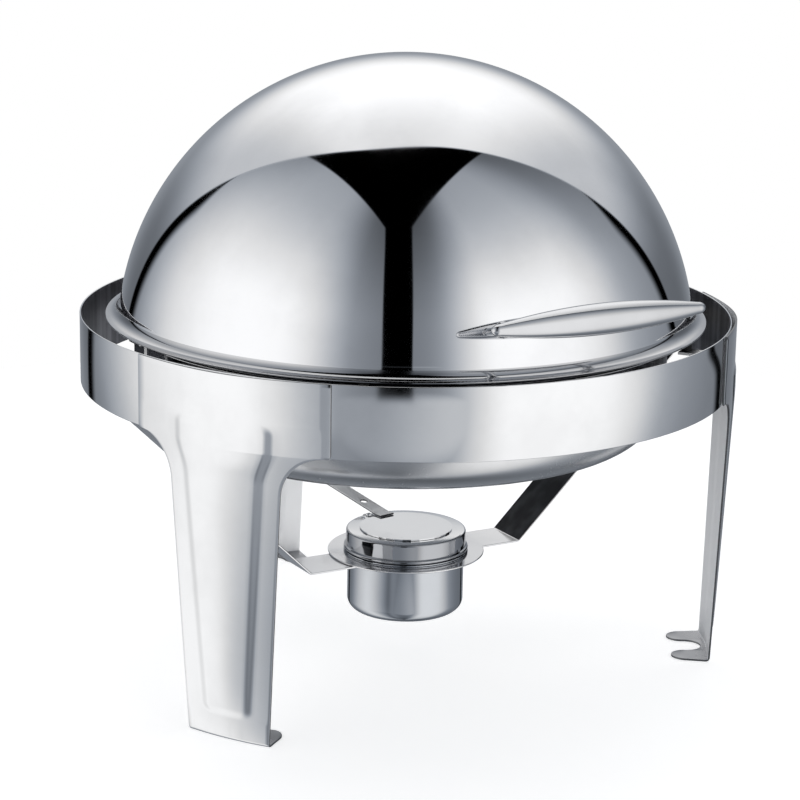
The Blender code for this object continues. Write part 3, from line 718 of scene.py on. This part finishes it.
def foot_columns():
    """Positions across half a foot: eight over the notch, the rest over one round prong."""
    prong_r = (STEM_FOOT_HALF - NOTCH_HALF) / 2
    centre = NOTCH_HALF + prong_r
    columns = [NOTCH_HALF * math.sin(math.pi / 2 * i / 8) for i in range(8)]
    columns += [centre - prong_r * math.cos(math.pi * i / 12) for i in range(13)]
    return columns, centre, prong_r


def leg_rows():
    rows = []
    for z in leg_heights():
        rows.append([(u, leg_radius(u, z) + emboss_raise(u, z), z) for u in leg_columns(z)])
    columns, centre, prong_r = foot_columns()
    for degrees in (30, 60, 90):
        a = math.radians(degrees)
        depth = FOOT_R - BEND_R * (1 - math.cos(a))
        rows.append([(u, depth, BEND_R * (1 - math.sin(a))) for u in columns])
    floor = FOOT_R - NOTCH_START
    notch = []
    for u in columns:
        reach = NOTCH_HALF - math.sqrt(max(NOTCH_HALF**2 - u * u, 0.0))
        notch.append((u, floor - reach, 0.0))
    rows.append(notch)
    tip = floor - NOTCH_HALF
    ends = []
    for u in columns:
        aside = min(abs(u - centre), prong_r)
        ends.append((u, tip - math.sqrt(prong_r**2 - aside**2) - GAP, 0.0))
    rows.append(ends)
    return rows


def leg_sheet(name):
    bm = bmesh.new()
    grid = []
    for row in leg_rows():
        full = [(-u, r, z) for u, r, z in row[:0:-1]] + row
        line = []
        for u, r, z in full:
            a = u / RING_R
            line.append(bm.verts.new((r * math.cos(a), r * math.sin(a), z)))
        grid.append(line)
    middle = len(grid[0]) // 2
    for k in range(len(grid) - 1):
        for i in range(2 * middle):
            if k == len(grid) - 2 and abs(i + 0.5 - middle) < 8:
                continue
            bm.faces.new((grid[k][i], grid[k][i + 1], grid[k + 1][i + 1], grid[k + 1][i]))
    loose = [v for v in bm.verts if not v.link_faces]
    bmesh.ops.delete(bm, geom=loose, context="VERTS")
    return finish_mesh(bm, name)


def legs():
    """The legs' sheets: polished outside, a pale nearly matte inside as painted reflection of the white
    floor, dark cut edges, darker feet.
    """
    for node, degrees in LEG_ANGLES.items():
        name = node + "_sheet"
        made = place(name, leg_sheet(name), SHEET, [node], AXIS, degrees)
        sheet = made.modifiers.new("sheet", "SOLIDIFY")
        sheet.thickness = LEG_T
        sheet.offset = -1.0
        sheet.material_offset = 1
        sheet.material_offset_rim = 2
        for material in (PALE_INSIDE, CUT, SHEET, TREAD, CUT):
            made.data.materials.append(material)
        for face in made.data.polygons:
            face.material_index = FOOT_SLOT if face.center.z < BEND_R / 4 else 0
        edge = made.modifiers.new("edge", "BEVEL")
        edge.width = EDGE_BEVEL
        edge.segments = 2
        edge.angle_limit = math.radians(60)


# ---------------------------------------------------------------- burner and pans


def arms():
    """Burner arms: level foot under the ring plate, slope painted near black, tab on the ring band."""
    for node, turn in (("burner_arm_left", 180.0), ("burner_arm_right", 0.0)):
        low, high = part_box(node)
        inner, outer = sorted(abs(x) for x in (low.x, high.x))
        bend_z = low.z + (outer - ARM_BEND_X) * ARM_SLOPE
        line = [(inner, low.z), (ARM_BEND_X, low.z), (outer, bend_z), (outer, high.z)]
        mesh = strip_mesh(node + "_strip", rounded(line, ARM_BEND_R), (high.y - low.y) / 2, ARM_T)
        centre = (0.0, (low.y + high.y) / 2, 0.0)
        place(node + "_strip", mesh, STRAP, [node], centre, turn)
        mesh.materials.append(NEAR_BLACK)
        for face in mesh.polygons:
            face.material_index = 1 if face.normal.x < -0.4 and face.normal.z > 0.4 else 0


def burner_centre():
    low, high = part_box("burner_ring")
    return Vector((0.0, (low.y + high.y) / 2, 0.0))


def lever():
    """Snuffer's lever: flat foot on the disc, shallow rise, round hole, cut edges painted near black as
    shade.
    """
    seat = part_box("snuffer_lever")[0].z
    rise = (LEVER_LENGTH - LEVER_FOOT) * LEVER_SLOPE
    line = [(0.0, seat), (LEVER_FOOT, seat), (LEVER_LENGTH, seat + rise)]
    mesh = strip_mesh("lever_strip", rounded(line, LEVER_BEND_R), LEVER_HALF, LEVER_T)
    start = burner_centre() + Vector((*LEVER_START, 0.0))
    made = place("lever_strip", mesh, LEVER, ["snuffer_lever"], start, LEVER_TURN)
    height = seat + (LEVER_HOLE_AT - LEVER_FOOT) * LEVER_SLOPE
    drill_strip(made, Vector((LEVER_HOLE_AT, 0.0, height)), Vector((-LEVER_SLOPE, 0.0, 1.0)))
    made.data.materials.append(NEAR_BLACK)
    # The cut edges are painted near black: painted shade of the strip's thickness and the gap under it.
    for face in made.data.polygons:
        face.material_index = 1 if abs(face.normal.z) < 0.6 else 0


def drill_strip(made, centre, direction):
    """Cut the strip's round hole with an exact boolean."""
    bm = bmesh.new()
    size = {"radius1": LEVER_HOLE_R, "radius2": LEVER_HOLE_R, "depth": 8 * LEVER_T}
    bmesh.ops.create_cone(bm, cap_ends=True, segments=40, **size)
    tilt = direction.to_track_quat("Z", "Y").to_matrix().to_4x4()
    cutter = bpy.data.objects.new("drill", finish_mesh(bm, "drill"))
    cutter.matrix_world = made.matrix_world @ Matrix.Translation(centre) @ tilt
    bpy.context.scene.collection.objects.link(cutter)
    bpy.context.view_layer.update()
    step = made.modifiers.new("hole", "BOOLEAN")
    step.operation = "DIFFERENCE"
    step.solver = "EXACT"
    step.object = cutter
    view = bpy.context.evaluated_depsgraph_get()
    made.data = bpy.data.meshes.new_from_object(made.evaluated_get(view))
    made.modifiers.clear()
    bpy.data.objects.remove(cutter)


def pan(node):
    """A pan's shell. The wall that the ring hides is painted dark as shade."""
    wall, corner = PANS[node]
    low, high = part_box(node)
    rim_z = high.z - PAN_T
    rim_r = (high.x - low.x) / 2
    line = [(0.0, low.z), (wall * 0.3, low.z), (wall * 0.6, low.z)]
    line += arc(wall - corner, low.z + corner, corner, -90.0, 0.0, 24)
    line += arc(wall + PAN_RIM_R, rim_z - PAN_RIM_R, PAN_RIM_R, 180.0, 90.0, 6)
    line += [(rim_r - PAN_T, rim_z), (rim_r, rim_z)]
    name = node + "_shell"
    mesh = lathe(offset_line(line, PAN_T), name, 192)
    place(name, mesh, PAN, [node], AXIS)
    mesh.materials.append(PAINTED_SHADE)
    for face in mesh.polygons:
        outward = face.center.x * face.normal.x + face.center.y * face.normal.y > -0.01
        hidden = face.center.z > RING_BOTTOM + PAN_SHOWN and face.normal.z < 0.3
        face.material_index = 1 if outward and hidden else 0


def ring_plate(centre):
    low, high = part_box("burner_ring")
    plate_r = (high.x - low.x) / 2
    outline = []
    for radius, inward in ((plate_r, -PLATE_SOFT), (PLATE_HOLE_R, PLATE_SOFT)):
        corners = [(radius, low.z + PLATE_SOFT), (radius, high.z - PLATE_SOFT), (radius + inward, high.z)]
        corners.insert(0, (radius + inward, low.z))
        outline += corners if inward < 0 else corners[::-1]
    place("ring_plate", lathe(outline, "ring_plate", 160), STRAP, ["burner_ring"], centre)


def cup(centre):
    low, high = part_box("burner_cup")
    rim = high.z - CUP_T
    line = [(0.0, low.z), (CUP_WALL * 0.4, low.z)]
    line += arc(CUP_WALL - CUP_CORNER, low.z + CUP_CORNER, CUP_CORNER, -90, 0, 12)
    line += arc(CUP_WALL + CUP_LIP_R, rim - CUP_LIP_R, CUP_LIP_R, 180.0, 90.0, 3)
    line += [((high.x - low.x) / 2, rim)]
    place("cup", lathe(offset_line(line, CUP_T), "cup", 160), CUP, ["burner_cup"], centre)


def collar(centre):
    """Collar with a rolled bead at its foot, a waist line, and a rounded top edge."""
    low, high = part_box("burner_collar")
    bead_r = (high.x - low.x) / 2
    bead = (bead_r - COLLAR_SKIRT) / 2 + BEAD_INSET
    edge_at = (COLLAR_SKIRT - COLLAR_EDGE_R, high.z - COLLAR_EDGE_R)
    inside = COLLAR_SKIRT - CUP_T
    outline = arc(bead_r - bead, low.z + bead, bead, -90.0, 75.0, 8)
    outline += [(COLLAR_SKIRT, low.z + 2.4 * bead)]
    outline += arc(*edge_at, COLLAR_EDGE_R, 0.0, 90.0, 6)
    outline += [(COLLAR_HOLE, high.z), (COLLAR_HOLE, high.z - CUP_T)]
    outline += arc(*edge_at, COLLAR_EDGE_R - CUP_T, 90.0, 0.0, 6)
    outline += [(inside, low.z + GAP), (inside + CUP_T / 2, low.z)]
    mesh = lathe(outline, "collar", 160)
    place("collar", mesh, COLLAR, ["burner_collar"], centre)
    mesh.materials.append(DISC)
    for face in mesh.polygons:
        face.material_index = 1 if face.normal.z > 0.8 and face.center.z > high.z - CUP_T else 0


# ---------------------------------------------------------------- CAD nodes that stay


def finish_cad_nodes():
    """Better materials on the CAD nodes that stay, by what they are made of."""
    for name, node in frame["nodes"].items():
        material = PLAIN
        if "bumper" in name:
            material = RUBBER
        elif "bush" in name:
            material = NYLON
        elif "snuffer" in name:
            material = DISC
        elif "post" in name:
            material = GRIP
        node.data.materials.clear()
        node.data.materials.append(material)


# ---------------------------------------------------------------- studio


def ramp(nodes, links, source, stops):
    node = nodes.new("ShaderNodeValToRGB")
    node.color_ramp.interpolation = "B_SPLINE"
    elements = node.color_ramp.elements
    while len(elements) > 1:
        elements.remove(elements[-1])
    for k, (position, value) in enumerate(stops):
        element = elements[0] if k == 0 else elements.new(position)
        element.position = position
        element.color = (value, value, value, 1.0)
    links.new(source, node.inputs["Fac"])
    return node.outputs["Color"]


def product(nodes, links, *factors):
    result = factors[0]
    for factor in factors[1:]:
        result = maths(nodes, links, "MULTIPLY", result, factor)
    return result


def light_directions(nodes, links):
    """A direction's parts as seen from the camera's side: right, toward the camera, and up."""
    coords = nodes.new("ShaderNodeTexCoord").outputs["Generated"]
    turn = nodes.new("ShaderNodeVectorRotate")
    turn.rotation_type = "Z_AXIS"
    turn.inputs["Angle"].default_value = math.radians(CAMERA_HEADING)
    links.new(coords, turn.inputs["Vector"])
    parts = nodes.new("ShaderNodeSeparateXYZ")
    links.new(turn.outputs["Vector"], parts.inputs["Vector"])
    right, away, up = (parts.outputs[k] for k in "XYZ")
    return right, product(nodes, links, away, -1.0), up


def side_panels(nodes, links, right, toward, up, rise):
    """Large soft panels around the object, and the light that the floor in front throws back."""
    around = maths(nodes, links, "ARCTAN2", right, toward)
    around = maths(nodes, links, "ADD", maths(nodes, links, "DIVIDE", around, 2 * math.pi), 0.5)
    fall = ramp(nodes, links, rise, PANEL_FALL)
    shade = ranged(nodes, links, around, *SHADE_START, 0.0, LOW_SHADE)
    shade_end = ranged(nodes, links, around, *SHADE_END, 1.0, 0.0)
    shade_low = ranged(nodes, links, up, *SHADE_RISE, 1.0, 0.0)
    kept = maths(nodes, links, "SUBTRACT", 1.0, product(nodes, links, shade, shade_end, shade_low))
    panels = product(nodes, links, ramp(nodes, links, around, SIDE_LIGHT), fall, PANEL_POWER, kept)
    bounce = ranged(nodes, links, right, *BOUNCE_SPAN, BOUNCE_LEFT, BOUNCE_RIGHT)
    bounce_low = ranged(nodes, links, up, *BOUNCE_RISE, 1.0, 0.0)
    bounce_near = ranged(nodes, links, toward, *BOUNCE_DEPTH, 0.0, 1.0)
    bounce = product(nodes, links, bounce, bounce_low, fall, bounce_near)
    return maths(nodes, links, "MAXIMUM", panels, bounce)


def outside_gap(nodes, links, right, toward, up):
    """1 on the panels and 0 in the dark funnel between them."""
    aside = maths(nodes, links, "ABSOLUTE", maths(nodes, links, "ADD", right, GAP_SHIFT), 0.0)
    taper = product(nodes, links, toward, GAP_TAPER)
    squeeze = product(nodes, links, toward, toward, GAP_BOW)
    funnel = maths(nodes, links, "SUBTRACT", GAP_TOP_HALF, taper)
    funnel = maths(nodes, links, "SUBTRACT", funnel, squeeze)
    neck = ranged(nodes, links, toward, *GAP_NECK, GAP_HALF, GAP_HALF + GAP_FLARE)
    margin = maths(nodes, links, "SUBTRACT", aside, maths(nodes, links, "MAXIMUM", funnel, neck))
    lit = ranged(nodes, links, margin, -GAP_BLUR, GAP_BLUR, 0.0, 1.0)
    below = ranged(nodes, links, up, *GAP_RISE, 1.0, 0.0)
    behind = ranged(nodes, links, toward, *GAP_BACK, 1.0, 0.0)
    return maths(nodes, links, "MAXIMUM", maths(nodes, links, "MAXIMUM", lit, below), behind)


def backdrop(nodes, links, right, rise):
    """Bright backdrop behind the object, dimmer at its sides."""
    aside = maths(nodes, links, "ABSOLUTE", right, 0.0)
    dim = ranged(nodes, links, aside, *BACKDROP_SPAN, 1.0, BACKDROP_SIDE)
    return product(nodes, links, ramp(nodes, links, rise, BACKDROP), BACKDROP_POWER, dim)


def past_edge(nodes, links, right, toward, up):
    """How far a direction lies in front of the curve where the panels end."""
    depth = maths(nodes, links, "SUBTRACT", 1.0, up)
    sides = (-EDGE_SPAN, EDGE_SPAN)
    start, fade, bow = (ranged(nodes, links, right, *sides, *pair) for pair in PANEL_EDGE)
    edge = maths(nodes, links, "SUBTRACT", product(nodes, links, depth, bow), fade)
    edge = maths(nodes, links, "ADD", product(nodes, links, edge, depth), start)
    reach = ranged(nodes, links, up, *LOW_RIGHT_RISE, LOW_RIGHT_REACH, 0.0)
    reach = product(nodes, links, reach, ranged(nodes, links, right, 0.0, EDGE_SPAN, 0.0, 1.0))
    return maths(nodes, links, "SUBTRACT", toward, maths(nodes, links, "SUBTRACT", edge, reach))


def studio_light():
    """Soft side panels with a dark gap between them and a bright backdrop; the camera sees plain white."""
    world = bpy.data.worlds.new("studio")
    bpy.context.scene.world = world
    nodes, links = nodes_of(world)
    right, toward, up = light_directions(nodes, links)
    rise = maths(nodes, links, "ADD", product(nodes, links, up, 0.5), 0.5)

    past = past_edge(nodes, links, right, toward, up)
    seam = maths(nodes, links, "ADD", ranged(nodes, links, up, *SEAM_RISE, SEAM_WIDTH, 0.0), SEAM_LEAST)
    off_seam = ranged(nodes, links, maths(nodes, links, "DIVIDE", past, seam), *SEAM_FADE, 0.0, 1.0)
    panels = side_panels(nodes, links, right, toward, up, rise)
    front = product(nodes, links, panels, outside_gap(nodes, links, right, toward, up), off_seam)
    is_front = ranged(nodes, links, past, -EDGE_BLUR, EDGE_BLUR, 0.0, 1.0)
    light = mixed(nodes, links, is_front, backdrop(nodes, links, right, rise), front)

    white = (1.0, 1.0, 1.0)
    whiteness = ranged(nodes, links, light, *CAST_SPAN, 0.0, 1.0)
    cast = mixed(nodes, links, whiteness, COOL_CAST, white)
    light = mixed(nodes, links, 1.0, light, cast, "MULTIPLY")
    seen = nodes.new("ShaderNodeLightPath").outputs["Is Camera Ray"]
    background = nodes["Background"]
    links.new(mixed(nodes, links, seen, light, white), background.inputs["Color"])
    background.inputs["Strength"].default_value = 1.0


def floor():
    """Round pale floor. It glows a little, as a lit table does, so that its far side stays white."""
    bm = bmesh.new()
    bmesh.ops.create_circle(bm, cap_ends=True, segments=128, radius=FLOOR_R)
    made = bpy.data.objects.new("floor", finish_mesh(bm, "floor"))
    made.location = (0.0, 0.0, -FLOOR_DROP)
    bpy.context.scene.collection.objects.link(made)
    material = bpy.data.materials.new("pale_floor")
    nodes, links = nodes_of(material)
    shader = nodes["Principled BSDF"]
    shader.inputs["Base Color"].default_value = (0.85, 0.85, 0.85, 1.0)
    shader.inputs["Roughness"].default_value = 0.7
    shader.inputs["Specular IOR Level"].default_value = 0.0
    shader.inputs["Emission Color"].default_value = (1.0, 1.0, 1.0, 1.0)
    shader.inputs["Emission Strength"].default_value = FLOOR_GLOW
    made.data.materials.append(material)
    made.visible_glossy = False


def camera():
    data = bpy.data.cameras.new("camera")
    data.lens = CAMERA_LENS
    made = bpy.data.objects.new("camera", data)
    made.location = CAMERA_PLACE + AXIS
    turn = Matrix.Rotation(-math.radians(CAMERA_HEADING), 3, "Z")
    pitch = Matrix.Rotation(math.radians(90.0 - CAMERA_PITCH), 3, "X")
    roll = Matrix.Rotation(math.radians(CAMERA_ROLL), 3, "Z")
    made.rotation_euler = (turn @ pitch @ roll).to_euler()
    bpy.context.scene.collection.objects.link(made)
    bpy.context.scene.camera = made


def build():
    finish_cad_nodes()
    lid()
    handle()
    ring()
    legs()
    arms()
    lever()
    for node in PANS:
        pan(node)
    centre = burner_centre()
    ring_plate(centre)
    cup(centre)
    collar(centre)
    floor()
    studio_light()
    camera()
    bpy.context.scene.view_settings.view_transform = "Standard"


build()
